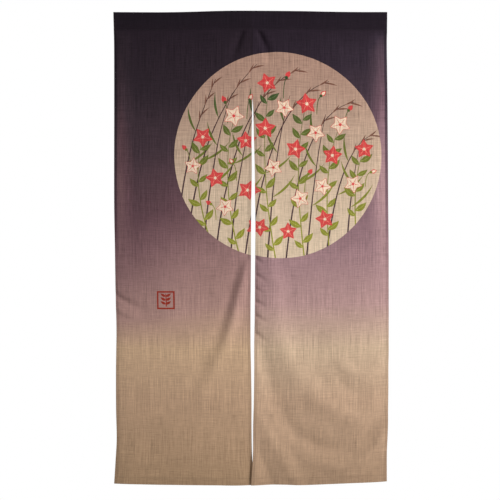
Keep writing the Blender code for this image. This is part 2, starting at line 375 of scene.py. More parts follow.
def smooth_table(places, values, at):
    """The table's values at some places, along a smooth curve through its rows."""
    places, values = np.array(places), np.array(values)
    at = np.clip(at, places[0], places[-1])
    row = np.clip(np.searchsorted(places, at, side="right") - 1, 0, len(places) - 2)
    wide_places, wide_values = np.pad(places, 1, "edge"), np.pad(values, 1, "edge")
    slope = (wide_values[2:] - wide_values[:-2]) / (wide_places[2:] - wide_places[:-2])
    step = places[row + 1] - places[row]
    share = (at - places[row]) / step
    rise = values[row + 1] - values[row]
    start, end = slope[row] * step, slope[row + 1] * step
    bend = (3 * rise - 2 * start - end) * share**2 + (start + end - 2 * rise) * share**3
    return values[row] + start * share + bend


def across(side, share, drop):
    """X of a cloth at a share of its width, from the slit to the side edge."""
    inner = SEAM_X + side * (smooth_table(SLIT_EDGES["drop"], SLIT_EDGES[side], drop) - SEAM_PRESS)
    outer = side * (CURTAIN_WIDTH / 2 - smooth_table(SIDE_EDGES["drop"], SIDE_EDGES[side], drop))
    return inner + (outer - inner) * share


def level(x, drop):
    """Z of the cloth at a drop."""
    top = smooth_table(LEVELS["x"], LEVELS["top"], x)
    hem = smooth_table(LEVELS["x"], LEVELS["hem"], x)
    share = drop / CURTAIN_DROP
    return -drop + top * (1 - share) + hem * share


def fold_forward(fold, x, drop):
    """How far one fold lifts the cloth forward, by the nearest place on its path."""
    rows = np.arange(len(fold["x"]))
    at = np.linspace(0, rows[-1], rows[-1] * FOLD_STEPS + 1)
    path = {name: smooth_table(rows, fold[name], at) for name in FOLD_COLUMNS}
    nearest = np.full(np.shape(x), np.inf)
    width, height = np.ones_like(nearest), np.zeros_like(nearest)
    for step in range(len(at) - 1):
        start_x, start_drop = path["x"][step], path["drop"][step]
        along_x, along_drop = path["x"][step + 1] - start_x, path["drop"][step + 1] - start_drop
        share = ((x - start_x) * along_x + (drop - start_drop) * along_drop) / (along_x**2 + along_drop**2)
        share = np.clip(share, 0, 1)
        away = np.hypot(x - start_x - share * along_x, drop - start_drop - share * along_drop)
        closer = away < nearest
        nearest = np.where(closer, away, nearest)
        for name, kept in (("width", width), ("height", height)):
            here = path[name][step] * (1 - share) + path[name][step + 1] * share
            kept[closer] = here[closer]
    return height * np.exp(-((nearest / width) ** 2))


def pucker_forward(p, x, drop):
    """How far one short pucker lifts the cloth forward. It is deepest at its start."""
    along_x, along_drop = p["x1"] - p["x0"], p["drop1"] - p["drop0"]
    length = math.hypot(along_x, along_drop)
    place = ((x - p["x0"]) * along_x + (drop - p["drop0"]) * along_drop) / length**2
    aside = ((x - p["x0"]) * along_drop - (drop - p["drop0"]) * along_x) / length
    fade = smooth_step((place + PUCKER_LEAD) / PUCKER_LEAD) * (1 - smooth_step(place))
    return p["height"] * fade * np.exp(-((aside / p["width"]) ** 2))


def forward(side, x, drop):
    """How far the cloth stands forward of the plane that it hangs in."""
    from_slit = np.maximum(0, side * (x - SEAM_X))
    held = 1 - smooth_step((drop - SLIT_DROP) / SLIT_LOOSENS)
    total = sum(fold_forward(fold, x, drop) for cloth, fold in FOLDS if cloth == side)
    total = total * (1 - held * (1 - smooth_step(from_slit / SEAM_REACH)))
    ramp = drop / CURTAIN_DROP
    total += WAVE_HEIGHT * ramp * np.sin(math.tau * x / WAVE_LENGTH + WAVE_PHASE + WAVE_SLANT * drop)
    to_edge = CURTAIN_WIDTH / 2 - side * x
    curl = smooth_table(CURLS["drop"], CURLS[side], drop)
    total -= curl * np.maximum(0, 1 - to_edge / CURL_REACH) ** 2
    lap = smooth_step((drop - LAP_DROP) / (CURTAIN_DROP - LAP_DROP))
    total += LAP_FORWARD[side] * lap * (1 - smooth_step(from_slit / LAP_REACH))
    total += sum(pucker_forward(pucker, x, drop) for cloth, pucker in PUCKERS if cloth == side)
    total += SEAM_RIDGE * held * np.exp(-((from_slit / SEAM_RIDGE_WIDTH) ** 2))
    return total * smooth_step((drop - HEADING_DROP) / LOOSENS_OVER)


def pocket_profile():
    """The rod pocket's section, up its front and down its back.

    It holds the run along the cloth, the drop, the y and the way that points inwards.
    """
    turn = np.linspace(0, math.tau, POCKET_POINTS)
    out = np.abs(np.sin(turn)) ** np.where(np.cos(turn) > 0, LOWER_TAPER, UPPER_TAPER)
    drop = HEADING_DROP * (1 + np.cos(turn)) / 2
    y = np.where(
        turn < math.pi,
        -FRONT_LAYER - (POCKET_FRONT - 2 * FRONT_LAYER) * out,
        3 * FRONT_LAYER + (POCKET_BACK - 4 * FRONT_LAYER) * out,
    )
    drop, y = np.append(drop, HEADING_DROP + POCKET_FLAP), np.append(y, 3 * FRONT_LAYER)
    run = np.concatenate([[0], np.cumsum(np.hypot(np.diff(drop), np.diff(y)))])
    along_drop, along_y = np.gradient(drop, run), np.gradient(y, run)
    size = np.hypot(along_drop, along_y)
    return {"run": run, "drop": drop, "y": y, "in_drop": along_y / size, "in_y": -along_drop / size}


POCKET = pocket_profile()
POCKET_RUN = float(POCKET["run"][-1])


def turned(past, radius):
    """Where cloth goes that is turned under past a fold: how far beyond the fold, and how deep."""
    angle = np.clip(past / radius, 0, math.pi)
    beyond = radius * np.sin(angle) - np.maximum(0, past - math.pi * radius)
    return beyond, radius * (1 - np.cos(angle))


def hang(side, u, v):
    """The hanging place of flat points, as an array of rows x, y, z."""
    width = CLOTH_WIDTH[side]
    in_beyond, in_depth = turned(np.maximum(0, -u), SIDE_TURN)
    out_beyond, out_depth = turned(np.maximum(0, u - width), SIDE_TURN)
    u_hung = np.clip(u, 0, width) - in_beyond + out_beyond
    depth = in_depth + out_depth
    past = np.maximum(0, v - CLOTH_LENGTH)
    angle = np.clip(past / HEM_TURN, 0, math.pi)
    beyond = (HEM_TURN - depth) * np.sin(angle) - np.maximum(0, past - math.pi * HEM_TURN)
    depth = HEM_TURN - (HEM_TURN - depth) * np.cos(angle)
    run = np.maximum(0, -v)
    pocket = {name: np.interp(run, POCKET["run"], values) for name, values in POCKET.items()}
    pocket_drop = pocket["drop"] + depth * pocket["in_drop"]
    pocket_y = pocket["y"] + depth * pocket["in_y"]
    below = v >= 0
    drop = np.where(below, HEADING_DROP + np.minimum(v, CLOTH_LENGTH) + beyond, pocket_drop)
    x = across(side, (u_hung + EDGE_INSET) / HALF_WIDTH[side], drop)
    y = np.where(below, -forward(side, x, drop) - FRONT_LAYER + depth, pocket_y)
    return np.stack([x, y, level(x, drop)], axis=1)


def front_normals(side, u, v, step=0.00008):
    """The way the printed face points at flat points."""
    along_u = hang(side, u + step, v) - hang(side, u - step, v)
    along_v = hang(side, u, v + step) - hang(side, u, v - step)
    normal = -side * np.cross(along_u, along_v)
    return normal / np.linalg.norm(normal, axis=1, keepdims=True)


# The print: outlines drawn on the flat cloth, in x and drop, from the lowest layer to the highest

DISC_CENTRE = (0.0848, 0.452)
DISC_RADIUS = 0.323
SEAL_CENTRE = (-0.267, 0.905)
SEAL_SIDE = 0.057
SEAL_BORDER = 0.005


def srgb(red, green, blue):
    """A colour given in screen values, as the shader wants it."""
    screen = np.array([red, green, blue]) / 255
    return tuple(np.where(screen <= 0.04045, screen / 12.92, ((screen + 0.055) / 1.055) ** 2.4))


# Inks, at the top and at the bottom of the disc, and the cloth where it is bare
INKS = {
    "bare": (srgb(0, 0, 0), srgb(0, 0, 0)),
    "ground": (srgb(160, 128, 112), srgb(208, 186, 160)),
    "stalk": (srgb(60, 34, 36), srgb(76, 56, 60)),
    "plume": (srgb(110, 72, 60), srgb(122, 92, 76)),
    "leaf": (srgb(42, 66, 44), srgb(140, 140, 52)),
    "vein": (srgb(84, 104, 70), srgb(178, 174, 96)),
    "coral": (srgb(198, 66, 66), srgb(204, 74, 72)),
    "blush": (srgb(222, 132, 112), srgb(226, 140, 118)),
    "petal": (srgb(222, 196, 170), srgb(228, 206, 180)),
    "seal": (srgb(142, 48, 36), srgb(142, 48, 36)),
}

# How strongly they show through on the back
REVERSE_STRENGTH = 0.75


def on_disc(across_share, up_share):
    """A place on the disc, given in shares of its radius from its centre."""
    return np.array([
        DISC_CENTRE[0] + across_share * DISC_RADIUS,
        DISC_CENTRE[1] - up_share * DISC_RADIUS,
    ])


def around(centre, angle, reach):
    """Points round a centre, each at an angle and a distance from it."""
    return np.stack([centre[0] + reach * np.cos(angle), centre[1] + reach * np.sin(angle)], axis=1)


def circle(centre, radius, count):
    return around(centre, np.linspace(0, math.tau, count, endpoint=False), radius)


def star(centre, radius, turn, count=50):
    """A flower's outline, with pointed petals."""
    angle = np.linspace(0, math.tau, count, endpoint=False)
    notch = np.abs(np.sin(PETALS / 2 * angle)) ** PETAL_POINT
    return around(centre, angle + turn, radius * (1 - (1 - FLOWER_WAIST) * notch))


def bezier(start, pull, end, count):
    """Points along a curve from start to end that bends towards pull."""
    share = np.linspace(0, 1, count)[:, None]
    return (1 - share) ** 2 * start + 2 * share * (1 - share) * pull + share**2 * end


def way_from(line, row):
    """The way in which a line runs on from one of its points."""
    way = line[row + 1] - line[row]
    return way / np.linalg.norm(way)


def ribbon(line, widths):
    """The outline of a stroke along a line, with a width at each of its points."""
    way = np.gradient(line, axis=0)
    way /= np.linalg.norm(way, axis=1, keepdims=True)
    aside = np.stack([-way[:, 1], way[:, 0]], axis=1) * (np.asarray(widths) / 2)[:, None]
    return np.concatenate([line + aside, (line - aside)[::-1]])


def stroke(start, pull, end, width, tip=0.3, count=14):
    """A brush stroke that narrows to its tip."""
    line = bezier(start, pull, end, count)
    return ribbon(line, width * np.linspace(1, tip, count))


def blade(base, tip, width, bend=0.0, count=11):
    """A leaf's outline from base to tip, bent to one side."""
    way = tip - base
    aside = np.array([-way[1], way[0]])
    line = bezier(base, (base + tip) / 2 + bend * aside, tip, count)
    share = np.linspace(0, 1, count)
    return ribbon(line, width * np.maximum(0.04, np.sin(math.pi * share**0.85)))


def leaf(base, tip, width, bend):
    """A leaf with the vein down its middle."""
    middle = base + (tip - base) * 0.06
    end = base + (tip - base) * 0.86
    aside = np.array([-(tip - base)[1], (tip - base)[0]])
    vein = stroke(middle, (base + tip) / 2 + bend * aside, end, LEAF_VEIN, tip=0.35, count=7)
    return [("leaf", blade(base, tip, width, bend)), ("vein", vein)]


def bellflower(centre, radius, turn, pale):
    """An open flower: coral with blush veins, or pale with a coral edge and veins."""
    veins, heart = ("coral", "coral") if pale else ("blush", "petal")
    shapes = [("coral", star(centre, radius, turn))]
    if pale:
        shapes.append(("petal", star(centre, radius - PETAL_EDGE, turn)))
    for petal in range(PETALS):
        angle = turn + petal * math.tau / PETALS
        way = np.array([math.cos(angle), math.sin(angle)])
        start, end = (centre + way * radius * share for share in VEIN_SPAN)
        shapes.append((veins, stroke(start, (start + end) / 2, end, PETAL_VEIN, tip=0.4, count=4)))
    shapes.append((heart, star(centre, radius * HEART_SIZE, turn + HEART_TURN, count=20)))
    return shapes


def bud(centre, way, size, pale):
    """A closed flower on its stalk's end, with a small green cup."""
    way = way / np.linalg.norm(way)
    shapes = [("coral", blade(centre - way * size * 0.5, centre + way * size * 0.62, size * 0.74))]
    if pale:
        shapes.append(("petal", blade(centre - way * size * 0.34, centre + way * size * 0.46, size * 0.44)))
    foot = centre - way * size * 0.60
    cup = blade(centre - way * size * 0.72, centre - way * size * 0.18, size * 0.52)
    bend = foot - way * size * 0.9
    stalk = stroke(foot, bend, bend + (0.0, size * 2.2), BUD_STALK, tip=1.0)
    return [("leaf", stalk)] + shapes + [("leaf", cup)]


# Stalks of grass that rise from the rim and arch over: root, pull and tip, each across and up in shares
# of the disc's radius, and whether it has a plume
GRASS = (
    (-0.93, -0.42, -0.86, 0.16, -0.60, 0.74, 1),
    (-0.84, -0.62, -0.70, 0.40, -0.20, 0.88, 1),
    (-0.70, -0.78, -0.62, 0.10, -0.44, 0.60, 0),
    (-0.58, -0.86, -0.40, 0.60, 0.22, 0.84, 1),
    (-0.44, -0.94, -0.38, 0.00, -0.18, 0.52, 0),
    (-0.30, -0.98, -0.10, 0.55, 0.50, 0.72, 1),
    (-0.12, -1.00, -0.06, 0.05, 0.12, 0.58, 0),
    (0.06, -1.02, 0.20, 0.42, 0.74, 0.52, 1),
    (0.26, -1.00, 0.34, -0.10, 0.46, 0.40, 0),
    (0.46, -0.92, 0.60, 0.10, 0.92, 0.20, 1),
    (0.66, -0.80, 0.70, -0.30, 0.78, 0.06, 0),
)
STALK_WIDTH = 0.0052
STALK_POINTS = 24

# Each stalk's two blades: the stalk's point that each grows from, its length and its bend
BLADES = ((7, 0.100, 0.16), (13, 0.085, -0.14))
BLADE_WIDTH = 0.0075

# The stalk's points that a plume's strands grow from, with their length, width, spread and droop
PLUME_POINTS = (-9, -8, -6, -5, -3, -2)
PLUME_LENGTH = 0.040
PLUME_WIDTH = 0.0050
PLUME_SPREAD = 0.34
PLUME_DROOP = 0.008

# Flower stems: root, pull and tip in the same shares, and how many pairs of leaves each has
STEMS = (
    (-0.66, -0.78, -0.84, -0.20, -0.72, 0.16, 5),
    (-0.36, -0.96, -0.56, -0.20, -0.42, 0.34, 7),
    (-0.04, -1.02, -0.22, -0.10, -0.08, 0.66, 9),
    (0.24, -1.00, 0.12, -0.10, 0.26, 0.44, 8),
    (0.48, -0.90, 0.42, -0.10, 0.58, 0.24, 6),
    (0.74, -0.70, 0.72, -0.20, 0.82, 0.02, 4),
)
STEM_WIDTH = 0.0042

# The stems' leaves: their angle to the stem and their length, and how much each changes from leaf to
# leaf, their width as a share of their length, their bend and the width of their vein
LEAF_ANGLE, ANGLE_CHANGE = 0.85, 0.12
LEAF_LENGTH, LENGTH_CHANGE = 0.040, 0.005
LEAF_WIDTH = 0.42
LEAF_BEND = 0.14
LEAF_VEIN = 0.0016

# Open flowers: place on the disc, size against the common one, turn, and whether pale
FLOWERS = (
    (-0.72, 0.18, 1.00, 0.3, 0),
    (-0.82, -0.10, 0.86, 1.1, 1),
    (-0.60, -0.22, 0.96, 0.7, 0),
    (-0.42, 0.38, 1.06, 0.1, 1),
    (-0.30, 0.14, 0.92, 0.9, 0),
    (-0.50, -0.50, 0.90, 0.4, 1),
    (-0.28, -0.34, 1.00, 1.3, 0),
    (-0.10, 0.70, 1.00, 0.6, 0),
    (0.06, 0.46, 0.94, 0.2, 1),
    (-0.13, 0.26, 1.04, 1.0, 0),
    (-0.06, -0.12, 0.92, 0.5, 1),
    (-0.20, -0.70, 0.94, 0.2, 0),
    (0.28, 0.50, 1.06, 0.8, 0),
    (0.36, 0.22, 0.94, 0.3, 1),
    (0.16, 0.06, 1.00, 1.2, 0),
    (0.20, -0.42, 0.96, 0.6, 1),
    (0.08, -0.74, 0.88, 0.9, 0),
    (0.60, 0.30, 1.00, 0.4, 1),
    (0.52, 0.00, 0.98, 1.1, 0),
    (0.42, -0.30, 0.90, 0.1, 1),
    (0.44, -0.62, 0.96, 0.7, 0),
    (0.83, 0.06, 0.96, 0.9, 0),
    (0.72, -0.28, 0.92, 0.2, 1),
)
FLOWER_RADIUS = 0.0325
FLOWER_WAIST = 0.58
PETALS = 5
PETAL_POINT = 0.9
PETAL_EDGE = 0.0022
PETAL_VEIN = 0.0018
VEIN_SPAN = (0.16, 0.74)
HEART_SIZE = 0.20
HEART_TURN = 0.63

# Buds: place on the disc, the way each points, size and whether pale
BUDS = (
    (-0.52, 0.54, 2.0, 0.021, 0),
    (-0.26, 0.56, 1.2, 0.019, 1),
    (0.10, 0.78, 1.1, 0.021, 0),
    (0.44, 0.60, 0.8, 0.020, 1),
    (-0.90, 0.08, 2.3, 0.018, 0),
    (0.70, 0.46, 0.9, 0.019, 0),
    (0.92, -0.16, 0.3, 0.018, 1),
    (-0.66, -0.46, 2.6, 0.018, 0),
    (0.30, -0.16, 0.9, 0.019, 0),
    (-0.44, -0.06, 2.2, 0.018, 1),
)
BUD_STALK = 0.0024


def disc_shapes():
    """Every shape on the disc: its ink and its outline."""
    shapes = []
    for row in GRASS:
        shapes += grass_stalk(*row)
    for row in STEMS:
        shapes += leafy_stem(*row)
    for x, up, turn, size, pale in BUDS:
        shapes += bud(on_disc(x, up), np.array([math.cos(turn), -math.sin(turn)]), size, pale)
    for x, up, size, turn, pale in FLOWERS:
        shapes += bellflower(on_disc(x, up), FLOWER_RADIUS * size, turn, pale)
    return shapes


def grass_stalk(x, up, pull_x, pull_up, tip_x, tip_up, plume):
    """A stalk that arches from the rim. Some carry a drooping plume, and each has two long blades."""
    start, pull, end = on_disc(x, up), on_disc(pull_x, pull_up), on_disc(tip_x, tip_up)
    shapes = [("stalk", stroke(start, pull, end, STALK_WIDTH, count=STALK_POINTS))]
    line = bezier(start, pull, end, STALK_POINTS)
    for row, length, bend in BLADES:
        way = way_from(line, row)
        lean = np.array([way[0] * 0.8 - way[1] * bend * 4, way[1] * 0.8 + way[0] * bend * 4])
        shapes.append(("leaf", blade(line[row], line[row] + lean * length, BLADE_WIDTH, bend)))
    if plume:
        shapes += drooping_plume(line)
    return shapes


def drooping_plume(line):
    """Feathery strands along a stalk's last stretch, which hang over to both sides of its tip."""
    shapes = []
    for strand, row in enumerate(PLUME_POINTS):
        way = way_from(line, row)
        hand = 1 if strand % 2 else -1
        lean = way + np.array([-way[1], way[0]]) * PLUME_SPREAD * hand
        tip = line[row] + lean * PLUME_LENGTH + np.array([0.0, PLUME_DROOP])
        shapes.append(("plume", blade(line[row], tip, PLUME_WIDTH, -0.10 * hand)))
    return shapes


def leafy_stem(x, up, pull_x, pull_up, tip_x, tip_up, pairs):
    """A stem with lance-shaped leaves in pairs up both sides."""
    start, pull, end = on_disc(x, up), on_disc(pull_x, pull_up), on_disc(tip_x, tip_up)
    shapes = [("leaf", stroke(start, pull, end, STEM_WIDTH, count=20))]
    line = bezier(start, pull, end, 4 * pairs + 3)
    for pair in range(pairs):
        row = 2 + 4 * pair
        way = way_from(line, row)
        for hand in (-1, 1):
            angle = hand * (LEAF_ANGLE + ANGLE_CHANGE * math.sin(3.1 * pair + hand))
            lean = np.array([
                way[0] * math.cos(angle) - way[1] * math.sin(angle),
                way[0] * math.sin(angle) + way[1] * math.cos(angle),
            ])
            base = line[row + (1 if hand > 0 else 0)]
            size = LEAF_LENGTH + LENGTH_CHANGE * math.sin(2.3 * pair + hand)
            shapes += leaf(base, base + lean * size, size * LEAF_WIDTH, LEAF_BEND * hand)
    return shapes


def seal_shapes():
    """A plain square frame with a sprig in it."""
    middle = np.array(SEAL_CENTRE)
    square = np.array([(-1, -1), (1, -1), (1, 1), (-1, 1)])
    shapes = [
        ("seal", middle + square * SEAL_SIDE / 2),
        ("bare", middle + square * (SEAL_SIDE / 2 - SEAL_BORDER)),
    ]
    foot, head = middle + (0.001, 0.020), middle + (0.0, -0.020)
    shapes.append(("seal", stroke(foot, middle + (0.002, 0), head, 0.0042, tip=0.6, count=8)))
    for height in (0.012, 0.000, -0.012):
        for hand in (-1, 1):
            base = middle + (0.0, height)
            tip = base + (hand * 0.0165, -0.009)
            shapes.append(("seal", blade(base, tip, 0.0082, 0.12 * hand)))
    return shapes


SEAL_COUNT = len(seal_shapes())


# The flat cloth as a net of triangles

# Steps round each turned side edge, round the hem's fold and round the pocket, and points round the disc
TURN_STEPS = 6
HEM_STEPS = 7
POCKET_STEPS = 49
RIM_POINTS = 220

# The net is worked out in millimetres, and points this near each other are joined
NET_SCALE = 1000
NET_JOIN = 0.00002

# The bake layout's margin, how much of its width each face takes, and how wide the walls are in it
MAP_MARGIN = 0.01
MAP_WIDTH = 0.47
MAP_WALL = 0.0005


def flat_u(side, x):
    """The flat place of a printed x."""
    return side * (x - SEAM_X) + SEAM_PRESS - EDGE_INSET


def spaced(*spans):
    """Places along one direction: each span is (start, end, step)."""
    places = [np.linspace(a, b, max(2, round((b - a) / step) + 1)) for a, b, step in spans]
    return np.unique(np.round(np.concatenate(places), 7))


def columns(side):
    """The net's places across the cloth, close together beside the slit and the side edge."""
    width, bend = CLOTH_WIDTH[side], math.pi * SIDE_TURN
    return spaced(
        (-SIDE_HEM, -bend, 0.004),
        (-bend, 0, bend / TURN_STEPS),
        (0, 0.006, 0.0012),
        (0.006, 0.062, 0.0035),
        (0.062, width - 0.06, 0.009),
        (width - 0.06, width, 0.005),
        (width, width + bend, bend / TURN_STEPS),
        (width + bend, width + SIDE_HEM, 0.004),
    )


def rows():
    """The net's places down the cloth, from the end of the pocket to the end of the hem."""
    hem_bend = math.pi * HEM_TURN
    steps = np.linspace(0, POCKET_POINTS, POCKET_STEPS)
    pocket = -np.interp(steps, np.arange(POCKET_POINTS + 1), POCKET["run"])
    below = spaced(
        (0, 0.030, 0.003),
        (0.030, 0.700, 0.008),
        (0.700, 0.985, 0.003),
        (0.985, CLOTH_LENGTH, 0.007),
        (CLOTH_LENGTH, CLOTH_LENGTH + hem_bend, hem_bend / HEM_STEPS),
        (CLOTH_LENGTH + hem_bend, CLOTH_LENGTH + BOTTOM_HEM, 0.006),
    )
    return np.unique(np.round(np.concatenate([pocket, below]), 7))


def turn_edges(side, u, v):
    """Edges of the net down each turned side edge, so that the print bends round it."""
    width, bend = CLOTH_WIDTH[side], math.pi * SIDE_TURN
    reach = bend * 0.51
    on_turn = (np.abs(u + bend / 2) < reach) | (np.abs(u - width - bend / 2) < reach)
    return [
        (row * len(u) + int(column), (row + 1) * len(u) + int(column))
        for column in np.flatnonzero(on_turn)
        for row in range(len(v) - 1)
    ]


def printed_net(side):
    """Triangles of one flat cloth that follow every printed outline, and the ink of each."""
    u, v = columns(side), rows()
    grid = np.stack(np.meshgrid(u, v), axis=2).reshape(-1, 2)
    rim = circle(DISC_CENTRE, DISC_RADIUS, RIM_POINTS)
    shapes = [("ground", rim)] + disc_shapes() + seal_shapes()
    points = [grid]
    faces = []
    count = len(grid)
    for ink, outline in shapes:
        flat = np.stack([flat_u(side, outline[:, 0]), outline[:, 1] - HEADING_DROP], axis=1)
        turn = flat[:, 0] * np.roll(flat[:, 1], -1) - flat[:, 1] * np.roll(flat[:, 0], -1)
        flat = flat if turn.sum() > 0 else flat[::-1]
        points.append(flat)
        faces.append(list(range(count, count + len(flat))))
        count += len(flat)
    points.append(np.array([(u[0], v[0]), (u[-1], v[0]), (u[-1], v[-1]), (u[0], v[-1])]))
    edges = [(count + corner, count + (corner + 1) % 4) for corner in range(4)] + turn_edges(side, u, v)
    flat_points = [Vector(point) for point in np.concatenate(points) * NET_SCALE]
    net = geometry.delaunay_2d_cdt(flat_points, edges, faces, 0, NET_JOIN)
    places = np.array([tuple(point) for point in net[0]]) / NET_SCALE
    triangles = np.array(net[2])
    middles = places[triangles].mean(axis=1)
    inside = ((middles > (u[0], v[0])) & (middles < (u[-1], v[-1]))).all(axis=1)
    covers = [net[5][row] for row in np.flatnonzero(inside)]
    inks = [ink_of(cover, shapes) for cover in covers]
    used, triangles = np.unique(triangles[inside], return_inverse=True)
    return places[used], triangles.reshape(-1, 3), inks


def ink_of(cover, shapes):
    """The ink that shows on a triangle. The disc's plants stop at its rim."""
    top = max(cover, default=None)
    if top is None:
        return "bare"
    is_seal = top >= len(shapes) - SEAL_COUNT
    return shapes[top][0] if is_seal or 0 in cover else "bare"


def print_colours(drops, inks, strength):
    """Colour and cover of the print at every corner of every triangle."""
    share = smooth_step((drops - DISC_CENTRE[1] + DISC_RADIUS) / (2 * DISC_RADIUS))[..., None]
    top, bottom = np.moveaxis(np.array([INKS[ink] for ink in inks]), 1, 0)[:, :, None]
    colours = top * (1 - share) + bottom * share
    cover = np.array([0.0 if ink == "bare" else strength for ink in inks])[:, None, None]
    return np.concatenate([colours, np.broadcast_to(cover, share.shape)], axis=2)


def rim_loop(triangles):
    """The net's outer edges, each in the direction of its triangle."""
    edges = np.concatenate([triangles[:, [0, 1]], triangles[:, [1, 2]], triangles[:, [2, 0]]])
    known = {tuple(edge) for edge in edges}
    return np.array([edge for edge in known if (edge[1], edge[0]) not in known])


def placed(data):
    """A new object of a mesh, a lamp or a camera, in the scene."""
    holder = bpy.data.objects.new(data.name, data)
    bpy.context.collection.objects.link(holder)
    return holder


def hung_cloth(side):
    """One cloth with its pocket and hems: a thin closed mesh that carries the print on both faces."""
    places, triangles, inks = printed_net(side)
    u, v = places[:, 0], places[:, 1]
    middle, normals = hang(side, u, v), front_normals(side, u, v)
    count = len(places)
    points = np.concatenate([middle + normals * THICKNESS / 2, middle - normals * THICKNESS / 2])
    corners = points[triangles]
    facing = np.cross(corners[:, 1] - corners[:, 0], corners[:, 2] - corners[:, 0])
    if (facing * normals[triangles[:, 0]]).sum() < 0:
        triangles = triangles[:, ::-1]
    rim = rim_loop(triangles)
    walls = np.stack([rim[:, 1], rim[:, 0], rim[:, 0] + count, rim[:, 1] + count], axis=1)
    faces = triangles.tolist() + (triangles[:, ::-1] + count).tolist() + walls.tolist()
    mesh = bpy.data.meshes.new(f"cloth_{NAMES[side]}_sheet")
    mesh.from_pydata(points.tolist(), [], faces)
    add_flat_places(mesh, u, v)
    add_print(mesh, v[triangles] + HEADING_DROP, inks, len(walls))
    add_bake_map(mesh, side, u, v)
    mesh.shade_smooth()
    mesh.normals_split_custom_set_from_vertices(np.concatenate([normals, -normals]).tolist())
    return placed(mesh)


def add_flat_places(mesh, u, v):
    """Each point's place on the flat cloth, for the weave."""
    flat = np.zeros((2 * len(u), 3), dtype=np.float32)
    flat[:, 0], flat[:, 1] = np.tile(u, 2), np.tile(v, 2)
    mesh.attributes.new("flat", "FLOAT_VECTOR", "POINT").data.foreach_set("vector", flat.ravel())


def add_print(mesh, drops, inks, wall_count):
    """The print's colours on the cloth's front and back. The thin walls at its edges stay bare."""
    front = print_colours(drops, inks, 1.0)
    back = print_colours(drops, inks, REVERSE_STRENGTH)
    colours = np.concatenate([front.reshape(-1, 4), back.reshape(-1, 4), np.zeros((4 * wall_count, 4))])
    colours = colours.astype(np.float32)
    mesh.attributes.new("print", "FLOAT_COLOR", "CORNER").data.foreach_set("color", colours.ravel())


def add_bake_map(mesh, side, u, v):
    """A flat layout of the cloth's front beside its back, with the walls at the rims."""
    wide = CLOTH_WIDTH[side] + 2 * SIDE_HEM
    tall = POCKET_RUN + CLOTH_LENGTH + BOTTOM_HEM
    place_u = MAP_MARGIN + MAP_WIDTH * (u + SIDE_HEM) / wide
    place_v = MAP_MARGIN + (1 - 2 * MAP_MARGIN) * (1 - (v + POCKET_RUN) / tall)
    layout = np.concatenate([
        np.stack([place_u, place_v], axis=1),
        np.stack([place_u + 0.5, place_v], axis=1),
    ])
    corner_points = np.empty(len(mesh.loops), dtype=np.int32)
    mesh.loops.foreach_get("vertex_index", corner_points)
    corners = layout[corner_points]
    totals = np.empty(len(mesh.polygons), dtype=np.int32)
    mesh.polygons.foreach_get("loop_total", totals)
    wall_corners = np.repeat(totals == 4, totals)
    corners[wall_corners & (corner_points >= len(u)), 0] -= 0.5 - MAP_WALL
    mesh.uv_layers.new(name="OFBake").uv.foreach_set("vector", corners.astype(np.float32).ravel())


# Stitching

STITCH_PITCH = 0.0042
STITCH_LENGTH = 0.0029
STITCH_START = 0.0006
THREAD_RADIUS = 0.00028
THREAD_SIDES = 5

# How far the stitch lines lie inside the turned end of a side hem and of the bottom hem
SIDE_INSET = 0.0015
HEM_INSET = 0.002

# How far the outer side's line starts below the pocket, and the hem's line stops short of each edge
SIDE_GAP = 0.002
HEM_GAP = 0.001

# How far the thread's middle lies under the cloth's face, as a share of its radius
THREAD_SINK = 0.6

# Each stitch's rings: share of its length, and the thread's size there
STITCH_RINGS = ((0.0, 0.35), (0.2, 1.0), (0.8, 1.0), (1.0, 0.35))


def stitch_run(side, start, end):
    """Threads along a straight line of the flat cloth's front."""
    start, end = np.array(start), np.array(end)
    way = (end - start) / np.linalg.norm(end - start)
    count = int(np.linalg.norm(end - start) / STITCH_PITCH)
    first = start + np.outer(np.arange(count) * STITCH_PITCH + STITCH_START, way)
    points, faces = [], []
    for share, size in STITCH_RINGS:
        u, v = (first + way * STITCH_LENGTH * share).T
        normal = front_normals(side, u, v)
        core = hang(side, u, v) + normal * (THICKNESS / 2 + THREAD_RADIUS * (size - THREAD_SINK))
        along = hang(side, u + way[0] * 0.0002, v + way[1] * 0.0002) - core
        aside = np.cross(along, normal)
        aside /= np.linalg.norm(aside, axis=1, keepdims=True)
        for turn in range(THREAD_SIDES):
            angle = math.tau * turn / THREAD_SIDES
            out = aside * math.cos(angle) + normal * math.sin(angle)
            points.append(core + out * THREAD_RADIUS * size)
    rings = np.stack(points, axis=1).reshape(-1, 3)
    last = THREAD_SIDES * (len(STITCH_RINGS) - 1)
    for base in range(0, len(rings), last + THREAD_SIDES):
        for low in range(base, base + last, THREAD_SIDES):
            high = low + THREAD_SIDES
            for turn in range(THREAD_SIDES):
                after = (turn + 1) % THREAD_SIDES
                faces.append((low + turn, low + after, high + after, high + turn))
        faces.append(tuple(base + turn for turn in reversed(range(THREAD_SIDES))))
        faces.append(tuple(base + last + turn for turn in range(THREAD_SIDES)))
    return rings, faces


